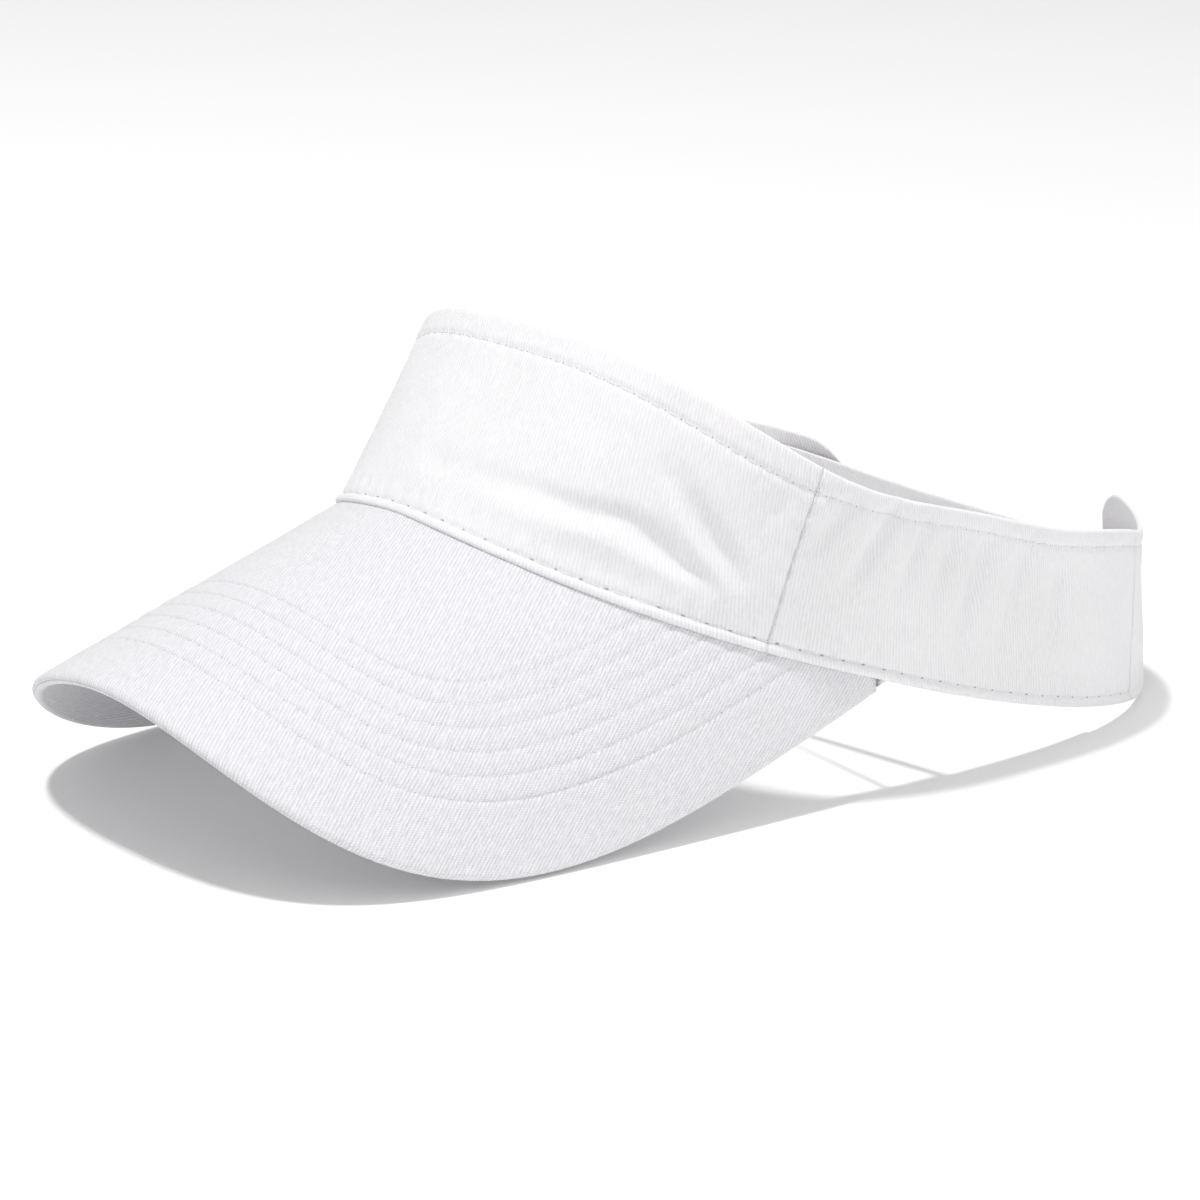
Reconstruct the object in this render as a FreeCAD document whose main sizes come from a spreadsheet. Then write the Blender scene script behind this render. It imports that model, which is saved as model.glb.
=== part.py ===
import FreeCAD, Part
import math
import os

# Sun visor, lying on a flat surface as it is put down: an arched brim in front (-Y),
# an open head band behind it, and a hook-and-loop closure at the rear (+Y).
# +X is the wearer's left, +Z is up, the origin is on the ground under the middle of the visor.

DIMENSIONS = [
    ("brim_arch_radius", 67.2, "radius of the brim's arch, mm"),
    ("brim_pitch", 18.4, "slope of the brim down towards its front, degrees"),
    ("brim_root_front", -58.2, "y where the brim meets the front panel, mm"),
    ("brim_root_height", 60.0, "z where the brim meets the front panel, mm"),
    ("brim_length", 76.7, "front panel to the brim's front edge, mm"),
    ("brim_half_width", 98.5, "half of the brim's width along its arch, mm"),
    ("brim_widest", -37.4, "distance in front of the root where the brim is widest, mm"),
    ("brim_outline_power", 2.9, "roundness of the brim's outline"),
    ("brim_cover_thickness", 0.6, "brim cloth, mm"),
    ("brim_board_thickness", 1.6, "plastic board inside the brim, mm"),
    ("brim_layer_gap", 0.05, "space between the brim's layers, mm"),
    ("brim_root_gap", 0.45, "space between the brim and the band's lower edge, mm"),
    ("brim_end_angle", 79.0, "ring angle where the brim's ends stop, degrees"),
    ("board_inset", 3.0, "board's edge inside the brim's edge, mm"),
    ("board_side_angle", 78.0, "board's reach down each side of the arch, degrees"),
    ("stitch_first_inset", 15.8, "outermost stitch row from the brim's edge, mm"),
    ("stitch_row_step", 5.1, "space between stitch rows, mm"),
    ("stitch_row_count", 6, "stitch rows across the brim"),
    ("thread_width", 0.5, "sewing thread, mm"),
    ("thread_rise", 0.3, "thickness of the sewing thread, mm"),
    ("thread_gap", 0.15, "space between the sewing thread and the cloth, mm"),
    ("low_back", 135.7, "y of the rear of the band's lower edge, mm"),
    ("low_widest", 42.2, "y where the lower edge is widest, mm"),
    ("low_half_width", 67.4, "half width of the lower edge, mm"),
    ("low_front_power", 2.33, "roundness of the lower edge in front"),
    ("low_back_power", 2.7, "roundness of the lower edge behind"),
    ("low_join_angle", 81.0, "ring angle where the lower edge leaves the brim, degrees"),
    ("low_side_sag", 13.2, "dip of the lower edge between the brim and the rear, mm"),
    ("low_rear_height", -2.6, "z of the lower edge's line carried on to the rear, mm"),
    ("top_front", -23.4, "y of the front of the band's upper edge, mm"),
    ("top_back", 126.4, "y of the rear of the upper edge, mm"),
    ("top_widest", 41.8, "y where the upper edge is widest, mm"),
    ("top_half_width", 72.7, "half width of the upper edge, mm"),
    ("top_front_power", 2.67, "roundness of the upper edge in front"),
    ("top_back_power", 2.77, "roundness of the upper edge behind"),
    ("top_height_front", 96.2, "z of the upper edge at the front, mm"),
    ("top_height_temple", 71.6, "z of the upper edge at a fifth of its length, mm"),
    ("top_height_ear", 61.0, "z at two fifths, mm"),
    ("top_height_side", 52.0, "z at three fifths, mm"),
    ("top_height_nape", 45.3, "z at four fifths, mm"),
    ("top_height_rear", 34.2, "z at the rear, mm"),
    ("panel_thickness", 0.8, "twill of the front panel, mm"),
    ("band_thickness", 1.1, "folded twill of the side bands, mm"),
    ("interfacing_thickness", 0.4, "stiffener behind the front panel, mm"),
    ("interfacing_inset", 7.0, "stiffener's edge inside the front panel's edge, mm"),
    ("sweatband_depth", 1.6, "sweatband's outer face behind the visor's outer face, mm"),
    ("sweatband_thickness", 0.7, "sweatband, mm"),
    ("sweatband_height", 30.0, "sweatband, mm"),
    ("seam_angle_low", 63.4, "ring angle of the side seams at the lower edge, degrees"),
    ("seam_angle_top", 60.4, "ring angle of the side seams at the upper edge, degrees"),
    ("band_lift", 0.4, "band cloth above the lower edge's line, mm"),
    ("seam_gap", 0.3, "space between neighbouring pieces, as ring angle, degrees"),
    ("left_rear_angle", 116.0, "ring angle where the left band starts to follow the closure, degrees"),
    ("tab_root_angle", 135.0, "ring angle where the closure tab can fold, degrees"),
    ("tab_end_angle", 164.4, "ring angle of the tab's end, degrees"),
    ("tab_lift", 8.3, "rise of the tab's end above the band's line, mm"),
    ("right_end_angle", 143.2, "ring angle of the right band's end, degrees"),
    ("end_corner_radius", 9.0, "rounded corners of the band ends, mm"),
    ("hook_depth", 1.15, "hook patch's outer face behind the visor's outer face, mm"),
    ("hook_thickness", 0.6, "hook patch, mm"),
    ("hook_margin", 5.0, "hook patch's edge inside the tab's edge, mm"),
    ("loop_depth", 3.2, "loop strip's outer face behind the visor's outer face, mm"),
    ("loop_thickness", 0.6, "loop strip, mm"),
    ("loop_start_angle", -173.0, "ring angle where the loop strip starts, degrees"),
    ("strap_depth", 3.85, "strap's outer face behind the visor's outer face, mm"),
    ("strap_thickness", 0.9, "strap, mm"),
    ("strap_height", 26.0, "strap, mm"),
    ("strap_root_angle", -128.0, "ring angle where the strap starts inside the right band, degrees"),
    ("strap_end_angle", 139.0, "ring angle of the strap's end, on the left, degrees"),
    ("strap_drop_right", 3.6, "strap's top edge below the right band's top edge, mm"),
    ("strap_drop_left", 2.6, "strap's top edge below the left band's top line, mm"),
    ("hem_front", 6.3, "hem stitch below the upper edge of the front panel, mm"),
    ("hem_side", 4.2, "hem stitch below the upper edge of the side bands, mm"),
    ("hem_low", 4.2, "hem stitch above the lower edge, mm"),
    ("seam_stitch_offset", 2.2, "seam's top stitch behind the seam, mm"),
]

doc = FreeCAD.newDocument("sun_visor")
dimensions = doc.addObject("Spreadsheet::Sheet", "Dimensions")
for row, (name, value, note) in enumerate(DIMENSIONS, 1):
    dimensions.set("A%d" % row, name)
    dimensions.set("B%d" % row, str(value))
    dimensions.set("C%d" % row, note)
    dimensions.setAlias("B%d" % row, name)
doc.recompute()


def size(name):
    return float(dimensions.get(name))


def angle(name):
    return math.radians(size(name))


V = FreeCAD.Vector
ARCH = size("brim_arch_radius")
PITCH = angle("brim_pitch")
FORWARD = V(0, -math.cos(PITCH), -math.sin(PITCH))
ARCH_UP = V(0, -math.sin(PITCH), math.cos(PITCH))
BRIM_ROOT = V(0, size("brim_root_front"), size("brim_root_height"))
LAYER_GAP = size("brim_layer_gap")
COVER = size("brim_cover_thickness")
BOARD = size("brim_board_thickness")
SEAM_GAP = angle("seam_gap")


def signed_power(value, power):
    return math.copysign(abs(value) ** power, value)


def ease(fraction):
    fraction = min(max(fraction, 0.0), 1.0)
    return fraction * fraction * (3 - 2 * fraction)


def mix(start, end, fraction):
    return start + (end - start) * fraction


# The brim's surface. "across" is measured along the arch, "ahead" along the brim's slope.

def brim_point(across, ahead, depth=0.0):
    turn = across / ARCH
    radius = ARCH - depth
    rise = radius * math.cos(turn) - ARCH
    return BRIM_ROOT + V(radius * math.sin(turn), 0, 0) + ARCH_UP * rise + FORWARD * ahead


def brim_height(x, y):
    drop = ARCH - math.sqrt(max(ARCH * ARCH - x * x, 0.0))
    return BRIM_ROOT.z + (y - BRIM_ROOT.y) * math.tan(PITCH) - drop / math.cos(PITCH)


def brim_flat(point):
    across = ARCH * math.asin(max(-1.0, min(1.0, point.x / ARCH)))
    ahead = (point - BRIM_ROOT).dot(FORWARD)
    return across, ahead


def brim_outline(turn, inset=0.0):
    power = 2 / size("brim_outline_power")
    reach = size("brim_length") - size("brim_widest")

    def at(angle_on_outline):
        across = size("brim_half_width") * signed_power(math.sin(angle_on_outline), power)
        ahead = size("brim_widest") + reach * signed_power(math.cos(angle_on_outline), power)
        return across, ahead

    across, ahead = at(turn)
    step = 1e-3
    before, after = at(turn - step), at(turn + step)
    along = (after[0] - before[0], after[1] - before[1])
    length = math.hypot(*along)
    return across + inset * along[1] / length, ahead - inset * along[0] / length


# The head band's surface. "turn" goes round the ring from the front (0) to the rear (pi),
# positive on the left; "up" goes from the lower edge (0) to the upper edge (1).

def ring_plan(turn, half_width, front, back, widest, front_power, back_power):
    sine, cosine = math.sin(turn), math.cos(turn)
    power = 2 / (front_power if cosine > 0 else back_power)
    reach = widest - front if cosine > 0 else back - widest
    return half_width * signed_power(sine, power), widest - reach * signed_power(cosine, power)


def low_plan(turn):
    return ring_plan(turn, size("low_half_width"), size("brim_root_front"), size("low_back"),
                     size("low_widest"), size("low_front_power"), size("low_back_power"))


def low_edge(turn):
    x, y = low_plan(turn)
    join = angle("low_join_angle")
    if abs(turn) <= join:
        return V(x, y, brim_height(x, y))
    join_x, join_y = low_plan(join)
    back = (y - join_y) / (size("low_back") - join_y)
    z = mix(brim_height(join_x, join_y), size("low_rear_height"), back)
    z -= size("low_side_sag") * back * (1 - back)
    return V(x, y, z)


TOP_STATIONS = ["front", "temple", "ear", "side", "nape", "rear"]
top_profile = Part.BSplineCurve()
top_profile.interpolate([V(100 * i / 5, 0, size("top_height_" + name)) for i, name in enumerate(TOP_STATIONS)])


def top_edge(turn):
    x, y = ring_plan(turn, size("top_half_width"), size("top_front"), size("top_back"),
                     size("top_widest"), size("top_front_power"), size("top_back_power"))
    back = (y - size("top_front")) / (size("top_back") - size("top_front"))
    low, high = top_profile.FirstParameter, top_profile.LastParameter
    for _ in range(40):
        middle = (low + high) / 2
        if top_profile.value(middle).x < 100 * back:
            low = middle
        else:
            high = middle
    return V(x, y, top_profile.value((low + high) / 2).z)


def tab_rise(turn):
    start, end = angle("tab_root_angle") - 0.1, angle("tab_end_angle")
    return size("tab_lift") * ease((turn - start) / (end - start)) if turn > start else 0.0


def ring_point(turn, up, depth=0.0):
    """A point between the lower and upper edges, moved inwards by a depth."""
    low, top = low_edge(turn), top_edge(turn)
    point = low + (top - low) * up
    if depth:
        step = 0.01
        round_the_ring = ring_point(turn + step, up) - ring_point(turn - step, up)
        outward = round_the_ring.cross(top - low)
        outward.normalize()
        point -= outward * depth
    return point


def band_point(turn, up, depth=0.0):
    return ring_point(turn, up, depth) + V(0, 0, tab_rise(turn))


def band_height(turn):
    return (top_edge(turn) - low_edge(turn)).Length


# Sheets: a grid of points on a surface, given a thickness and closed into a solid.

def closed_solid(faces):
    shell = Part.Shell(faces)
    shell.sewShape()
    solid = Part.Solid(shell)
    if solid.Volume < 0:
        solid.reverse()
    return solid


def sheet_solid(place, depth, thickness, rows, columns):
    faces, grids = [], []
    for offset in (depth, depth + thickness):
        grid = [[place(i / rows, j / columns, offset) for j in range(columns + 1)] for i in range(rows + 1)]
        surface = Part.BSplineSurface()
        surface.interpolate(grid)
        faces.append(surface.toShape())
        grids.append(surface)
    outer, inner = grids
    for iso, low, high in (("uIso", 0, 1), ("vIso", 2, 3)):
        for bound in (low, high):
            edges = [getattr(s, iso)(s.bounds()[bound]).toShape() for s in (outer, inner)]
            faces.append(Part.makeRuledSurface(*edges))
    return closed_solid(faces)


# Threads: narrow ribbons of square section between four long curves.

def thread_solid(line, depth, rows):
    """line gives a point from the place along the thread, the distance beside it and the depth."""
    half, rise = size("thread_width") / 2, size("thread_rise")
    curves = []
    for sideways, deep in ((-half, depth - rise), (half, depth - rise), (half, depth), (-half, depth)):
        curve = Part.BSplineCurve()
        curve.interpolate([line(i / rows, sideways, deep) for i in range(rows + 1)])
        curves.append(curve)
    edges = [curve.toShape() for curve in curves]
    faces = [Part.makeRuledSurface(edge, after) for edge, after in zip(edges, edges[1:] + edges[:1])]
    for end in ("StartPoint", "EndPoint"):
        corners = [getattr(curve, end) for curve in curves]
        faces.append(Part.makeRuledSurface(Part.makeLine(corners[0], corners[1]),
                                           Part.makeLine(corners[3], corners[2])))
    return closed_solid(faces)


def add_piece(label, shape):
    piece = doc.addObject("Part::Feature", label)
    piece.Label = label
    piece.Shape = shape
    pieces.append(piece)
    return piece


pieces = []

# Brim: two cloth covers over a plastic board, with stitch rows through all three.

BRIM_END = angle("brim_end_angle")


def outline_end():
    across, ahead = brim_flat(low_edge(BRIM_END))
    reach = size("brim_length") - size("brim_widest")
    cosine = signed_power((ahead - size("brim_widest")) / reach, size("brim_outline_power") / 2)
    return math.acos(cosine)


OUTLINE_END = outline_end()


def brim_root(turn, gap):
    """The brim's root in its flat coordinates: the ring's lower edge, moved out by a gap."""
    step = 1e-3
    across, ahead = brim_flat(low_edge(turn))
    before, after = brim_flat(low_edge(turn - step)), brim_flat(low_edge(turn + step))
    along = (after[0] - before[0], after[1] - before[1])
    length = math.hypot(*along)
    return across - gap * along[1] / length, ahead + gap * along[0] / length


def brim_place(lateral, forward, depth):
    side = 2 * lateral - 1
    root_across, root_ahead = brim_root(side * BRIM_END, size("brim_root_gap"))
    edge_across, edge_ahead = brim_outline(side * OUTLINE_END)
    return brim_point(mix(root_across, edge_across, forward), mix(root_ahead, edge_ahead, forward), depth)


UNDER_DEPTH = COVER + BOARD + 2 * LAYER_GAP
add_piece("brim_top_cover", sheet_solid(brim_place, 0, COVER, 48, 8))
add_piece("brim_under_cover", sheet_solid(brim_place, UNDER_DEPTH, COVER, 48, 8))


# The board is a slice of a tube, cut to the outline of the brim.

def arch_placement():
    centre = BRIM_ROOT - ARCH_UP * ARCH - FORWARD * size("brim_length")
    along_arch = FreeCAD.Rotation(V(1, 0, 0), ARCH_UP, FORWARD)
    return FreeCAD.Placement(centre, along_arch * FreeCAD.Rotation(V(0, 0, 1), 90 - size("board_side_angle")))


def arch_cylinder(name, radius):
    cylinder = doc.addObject("Part::Cylinder", name)
    cylinder.setExpression("Radius", radius)
    cylinder.setExpression("Height", "2 * Dimensions.brim_length + 20")
    cylinder.setExpression("Angle", "2 * Dimensions.board_side_angle")
    cylinder.Placement = arch_placement()
    return cylinder


def board_outline():
    inset = size("board_inset")
    board_radius = ARCH - COVER - LAYER_GAP - BOARD
    edge, root = [], []
    for i in range(61):
        side = 2 * i / 60 - 1
        across, ahead = brim_outline(side * OUTLINE_END * 0.9, inset)
        edge.append((board_radius * math.sin(across / ARCH), ahead))
    for i in range(31):
        side = 1 - 2 * i / 30
        point = low_edge(side * angle("brim_end_angle") * 0.88)
        root.append((point.x * board_radius / ARCH, brim_flat(point)[1] + inset))
    front_curve, root_curve = Part.BSplineCurve(), Part.BSplineCurve()
    front_curve.interpolate([V(x, 0, 0) + FORWARD * ahead for x, ahead in edge])
    root_curve.interpolate([V(x, 0, 0) + FORWARD * ahead for x, ahead in root])
    front_edge, root_edge = front_curve.toShape(), root_curve.toShape()
    right = Part.makeLine(front_curve.EndPoint, root_curve.StartPoint)
    left = Part.makeLine(root_curve.EndPoint, front_curve.StartPoint)
    wire = Part.Wire([front_edge, right, root_edge, left])
    wire.translate(BRIM_ROOT - ARCH_UP * ARCH)
    return wire


outer_tube = arch_cylinder("BoardOuter", "Dimensions.brim_arch_radius - Dimensions.brim_cover_thickness"
                                         " - Dimensions.brim_layer_gap")
inner_tube = arch_cylinder("BoardInner", "Dimensions.brim_arch_radius - Dimensions.brim_cover_thickness"
                                         " - Dimensions.brim_layer_gap - Dimensions.brim_board_thickness")
tube = doc.addObject("Part::Cut", "BoardTube")
tube.Base, tube.Tool = outer_tube, inner_tube
outline = doc.addObject("Part::Feature", "BoardOutline")
outline.Shape = board_outline()
prism = doc.addObject("Part::Extrusion", "BoardPrism")
prism.Base = outline
prism.DirMode = "Custom"
prism.Dir = ARCH_UP
prism.setExpression("LengthFwd", "Dimensions.brim_arch_radius + 10")
prism.Solid = True
board = doc.addObject("Part::Common", "brim_board")
board.Base, board.Tool = tube, prism
board.Label = "brim_board"
pieces.append(board)


def outside_ring(point):
    forward = max((size("low_widest") - point.y) / (size("low_widest") - size("brim_root_front")), 0)
    sideways = abs(point.x) / size("low_half_width")
    return forward ** size("low_front_power") + sideways ** size("low_front_power") > 1.0


def row_end(inset):
    low, high = 0.2, 2.2
    for _ in range(40):
        middle = (low + high) / 2
        across, ahead = brim_outline(middle, inset)
        if outside_ring(brim_point(across, ahead)):
            low = middle
        else:
            high = middle
    return low - 0.01


def stitch_row(inset):
    end = row_end(inset)

    def line(along, sideways, depth):
        across, ahead = brim_outline((2 * along - 1) * end, inset + sideways)
        return brim_point(across, ahead, depth)
    return thread_solid(line, -size("thread_gap"), 60)


for row in range(int(size("stitch_row_count"))):
    inset = size("stitch_first_inset") + row * size("stitch_row_step")
    add_piece("brim_stitch_row_%d" % (row + 1), stitch_row(inset))


# Head band.

def seam_turn(up):
    return mix(angle("seam_angle_low"), angle("seam_angle_top"), up)


def corner_margin(distance_to_end):
    radius = size("end_corner_radius")
    if distance_to_end >= radius:
        return 0.0
    return radius - math.sqrt(max(radius ** 2 - (radius - distance_to_end) ** 2, 0.0))


def band_place(start, end, low_margin=0.0, top_margin=0.0, rounded=None):
    """A stretch of band between two ring angles (numbers or functions of height), with margins in mm;
    rounded names the end, "start" or "end", whose corners are round."""
    start_at = start if callable(start) else lambda up: start
    end_at = end if callable(end) else lambda up: end

    def place(along, over, depth):
        shaped = along
        if rounded == "end":
            shaped = math.sin(along * math.pi / 2) if along > 0 else 0.0
        if rounded == "start":
            shaped = 1 - math.sin((1 - along) * math.pi / 2)
        middle = mix(start_at(0.5), end_at(0.5), shaped)
        height = band_height(middle)
        corner = 0.0
        if rounded:
            end_turn = end_at(0.5) if rounded == "end" else start_at(0.5)
            distance = (band_point(middle, 0.5) - band_point(end_turn, 0.5)).Length
            corner = corner_margin(distance)
        up = mix((low_margin + corner) / height, 1 - (top_margin + corner) / height, over)
        return band_point(mix(start_at(up), end_at(up), shaped), up, depth)
    return place


def band_piece(label, place, depth, thickness, rows=24, columns=6):
    return add_piece(label, sheet_solid(place, depth, thickness, rows, columns))


left_rear, tab_root = angle("left_rear_angle"), angle("tab_root_angle")
tab_end, right_end = angle("tab_end_angle"), -angle("right_end_angle")
LIFT = size("band_lift")
band_piece("front_panel",
           band_place(lambda up: -seam_turn(up) + SEAM_GAP, lambda up: seam_turn(up) - SEAM_GAP, LIFT),
           0, size("panel_thickness"), rows=40)
band_piece("left_side_band", band_place(lambda up: seam_turn(up), left_rear - SEAM_GAP, LIFT),
           0, size("band_thickness"), rows=30)
band_piece("left_band_rear", band_place(left_rear + SEAM_GAP, tab_root - SEAM_GAP, LIFT),
           0, size("band_thickness"))
band_piece("closure_tab", band_place(tab_root + SEAM_GAP, tab_end, LIFT, rounded="end"),
           0, size("band_thickness"))
band_piece("right_side_band", band_place(right_end, lambda up: -seam_turn(up), LIFT, rounded="start"),
           0, size("band_thickness"), rows=60)

inset = size("interfacing_inset")
front_reach = angle("seam_angle_top") - inset / size("top_half_width")
band_piece("front_interfacing", band_place(-front_reach, front_reach, inset, inset),
           size("panel_thickness") + 0.1, size("interfacing_thickness"), rows=30)


def sweatband_place(along, over, depth):
    turn = mix(right_end + 0.25, left_rear - 0.1, along)
    return band_point(turn, (0.8 + size("sweatband_height") * over) / band_height(turn), depth)


band_piece("sweatband", sweatband_place, size("sweatband_depth"), size("sweatband_thickness"), rows=60)

# Closure: a hook patch inside the tab, which grips a loop strip on the strap.

hook_margin = size("hook_margin")
band_piece("hook_patch", band_place(tab_root + 0.09, tab_end - 0.09, hook_margin, hook_margin),
           size("hook_depth"), size("hook_thickness"))


STRAP_ROOT = 2 * math.pi + angle("strap_root_angle")
STRAP_END = angle("strap_end_angle")


def strap_place(start, end, margin=0.0):
    """A stretch of the strap between two ring angles, with a margin in mm at its edges."""
    def place(along, over, depth):
        turn = mix(start, end, along)
        across = (turn - STRAP_ROOT) / (STRAP_END - STRAP_ROOT)
        drop = mix(size("strap_drop_right"), size("strap_drop_left"), across)
        height = band_height(turn)
        top = 1 - (drop + margin) / height
        low = 1 - (drop + size("strap_height") - margin) / height
        return ring_point(turn, mix(low, top, over), depth)
    return place


LOOP_START = 2 * math.pi + angle("loop_start_angle")
band_piece("rear_strap", strap_place(STRAP_ROOT, STRAP_END),
           size("strap_depth"), size("strap_thickness"), rows=40)
band_piece("loop_strip", strap_place(LOOP_START, STRAP_END + 0.02, 2.0),
           size("loop_depth"), size("loop_thickness"))


# Top stitching: a narrow raised line of thread along a curve on the band.

def hem_inset(turn):
    return mix(size("hem_front"), size("hem_side"), ease((abs(turn) - 0.8) / 0.5))


def top_hem(start, end):
    def line(along, sideways, depth):
        turn = mix(start, end, along)
        return band_point(turn, 1 - (hem_inset(turn) + sideways) / band_height(turn), depth)
    return line


def low_hem(start, end):
    def line(along, sideways, depth):
        turn = mix(start, end, along)
        return band_point(turn, (size("hem_low") + sideways) / band_height(turn), depth)
    return line


def seam_line(side):
    def line(along, sideways, depth):
        up = mix(0.14, 0.84, along)
        turn = side * (seam_turn(up) + (size("seam_stitch_offset") + sideways) / size("low_half_width"))
        return band_point(turn, up, depth)
    return line


def stitched(label, line, depth, rows=60):
    add_piece(label, thread_solid(line, depth - size("thread_gap"), rows))


stitched("top_hem_stitching", top_hem(right_end + 0.16, left_rear - 0.02), 0, rows=120)
stitched("lower_hem_stitching", low_hem(right_end + 0.25, left_rear - 0.02), 0, rows=120)
stitched("left_seam_stitching", seam_line(1), 0, rows=12)
stitched("right_seam_stitching", seam_line(-1), 0, rows=12)
stitched("tab_stitching", top_hem(tab_root + 0.03, tab_end - 0.14), 0, rows=16)


def loop_stitch_line(along, sideways, depth):
    place = strap_place(LOOP_START - 0.02, STRAP_END + 0.04, 2.0)
    return place(along, 0.93 + sideways / size("strap_height"), depth)


stitched("loop_strip_stitching", loop_stitch_line, size("loop_depth"), rows=16)

doc.recompute()
os.makedirs("parts", exist_ok=True)
for item in doc.Objects:
    if "Invalid" in item.State or "Error" in item.State:
        raise RuntimeError("%s did not build: %s" % (item.Label, item.State))
for piece in pieces:
    if piece.Shape.isNull() or not piece.Shape.isValid():
        raise RuntimeError("%s has no valid shape" % piece.Label)
whole = FreeCAD.BoundBox()
for piece in pieces:
    piece.Shape.exportStep("parts/%s.step" % piece.Label)
    whole.add(piece.Shape.BoundBox)
    box = piece.Shape.BoundBox
    print("%-24s %9.1f mm3 %d solids  z %.1f..%.1f y %.1f..%.1f" % (
        piece.Label, piece.Shape.Volume, len(piece.Shape.Solids), box.ZMin, box.ZMax, box.YMin, box.YMax))
print("whole: x %.2f..%.2f  y %.2f..%.2f  z %.2f..%.2f" % (
    whole.XMin, whole.XMax, whole.YMin, whole.YMax, whole.ZMin, whole.ZMax))
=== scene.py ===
import math

import bmesh
import bpy
import numpy as np
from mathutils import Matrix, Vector


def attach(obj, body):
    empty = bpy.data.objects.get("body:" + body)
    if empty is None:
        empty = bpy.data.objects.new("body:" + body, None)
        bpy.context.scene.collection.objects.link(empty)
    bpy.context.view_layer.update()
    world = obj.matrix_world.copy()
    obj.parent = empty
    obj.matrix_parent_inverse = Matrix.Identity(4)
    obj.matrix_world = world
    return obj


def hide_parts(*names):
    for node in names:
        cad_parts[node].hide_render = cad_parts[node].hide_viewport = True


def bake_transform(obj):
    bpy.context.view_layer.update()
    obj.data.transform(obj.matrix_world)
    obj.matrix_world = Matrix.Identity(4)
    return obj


# A white cotton twill sun visor: arched brim in front, open head band, hook-and-loop closure behind.
# Shapes are worked out in millimetres, like the CAD part, and turned into metres when a mesh is made.

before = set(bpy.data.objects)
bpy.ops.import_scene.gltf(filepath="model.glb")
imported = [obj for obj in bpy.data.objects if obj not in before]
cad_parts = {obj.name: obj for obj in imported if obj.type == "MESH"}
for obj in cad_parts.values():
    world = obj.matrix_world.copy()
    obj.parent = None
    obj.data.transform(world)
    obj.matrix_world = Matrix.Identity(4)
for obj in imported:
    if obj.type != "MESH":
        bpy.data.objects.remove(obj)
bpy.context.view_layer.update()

MM = 0.001


def signed_power(value, power):
    return np.sign(value) * np.abs(value) ** power


def ease(fraction):
    fraction = np.clip(fraction, 0.0, 1.0)
    return fraction * fraction * (3 - 2 * fraction)


def mix(start, end, fraction):
    return start + (end - start) * fraction


def bell(distance, width):
    return np.exp(-(distance / width) ** 2)


def unit(vectors):
    return vectors / np.maximum(np.linalg.norm(vectors, axis=-1, keepdims=True), 1e-12)


def noise(x, y, seed):
    """Smooth noise from -1 to 1 whose features are about one unit across, the same at each run."""
    cell_x, cell_y = np.floor(x), np.floor(y)
    part_x, part_y = ease(x - cell_x), ease(y - cell_y)

    def corner(i, j):
        value = np.sin((cell_x + i) * 127.1 + (cell_y + j) * 311.7 + seed * 74.7) * 43758.5453
        return 2 * (value - np.floor(value)) - 1
    low = mix(corner(0, 0), corner(1, 0), part_x)
    high = mix(corner(0, 1), corner(1, 1), part_x)
    return mix(low, high, part_y)


# ---------------------------------------------------------------- the brim's surface
# "across" is measured along the arch, positive on the wearer's left, "ahead" along the slope.

ARCH = 67.2
PITCH = math.radians(18.4)
FORWARD = np.array([0.0, -math.cos(PITCH), -math.sin(PITCH)])
ARCH_UP = np.array([0.0, -math.sin(PITCH), math.cos(PITCH)])
BRIM_ROOT = np.array([0.0, -58.2, 60.0])
BRIM_LENGTH = 76.7
BRIM_HALF_WIDTH = 98.5
BRIM_WIDEST = -37.4
BRIM_ROUNDNESS = 2.9
BRIM_END = math.radians(79.0)
BRIM_THICKNESS = 2.9
COVER = 0.6
ROOT_GAP = -2.5
ROW_COUNT = 6
FIRST_ROW = 15.8
ROW_STEP = 5.1


def brim_point(across, ahead, depth=0.0):
    across, ahead, depth = np.broadcast_arrays(np.asarray(across, float), ahead, depth)
    turn = across / ARCH
    radius = ARCH - depth
    point = BRIM_ROOT + (radius * np.cos(turn) - ARCH)[..., None] * ARCH_UP + ahead[..., None] * FORWARD
    point[..., 0] += radius * np.sin(turn)
    return point


def brim_height(x, y):
    drop = ARCH - np.sqrt(np.maximum(ARCH * ARCH - x * x, 0.0))
    return BRIM_ROOT[2] + (y - BRIM_ROOT[1]) * math.tan(PITCH) - drop / math.cos(PITCH)


def brim_flat(point):
    across = ARCH * np.arcsin(np.clip(point[..., 0] / ARCH, -1, 1))
    return across, (point - BRIM_ROOT) @ FORWARD


def outline(turn, inset=0.0):
    power = 2 / BRIM_ROUNDNESS
    reach = BRIM_LENGTH - BRIM_WIDEST

    def at(angle):
        across = BRIM_HALF_WIDTH * signed_power(np.sin(angle), power)
        return across, BRIM_WIDEST + reach * signed_power(np.cos(angle), power)
    across, ahead = at(turn)
    before, after = at(turn - 1e-3), at(turn + 1e-3)
    step_across, step_ahead = after[0] - before[0], after[1] - before[1]
    length = np.hypot(step_across, step_ahead)
    return across + inset * step_ahead / length, ahead - inset * step_across / length


# ---------------------------------------------------------------- the head band's surface
# "turn" goes round the ring from the front (0) to the rear (pi), positive on the left.
# "height" is measured up the band in millimetres from its lower edge.

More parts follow.
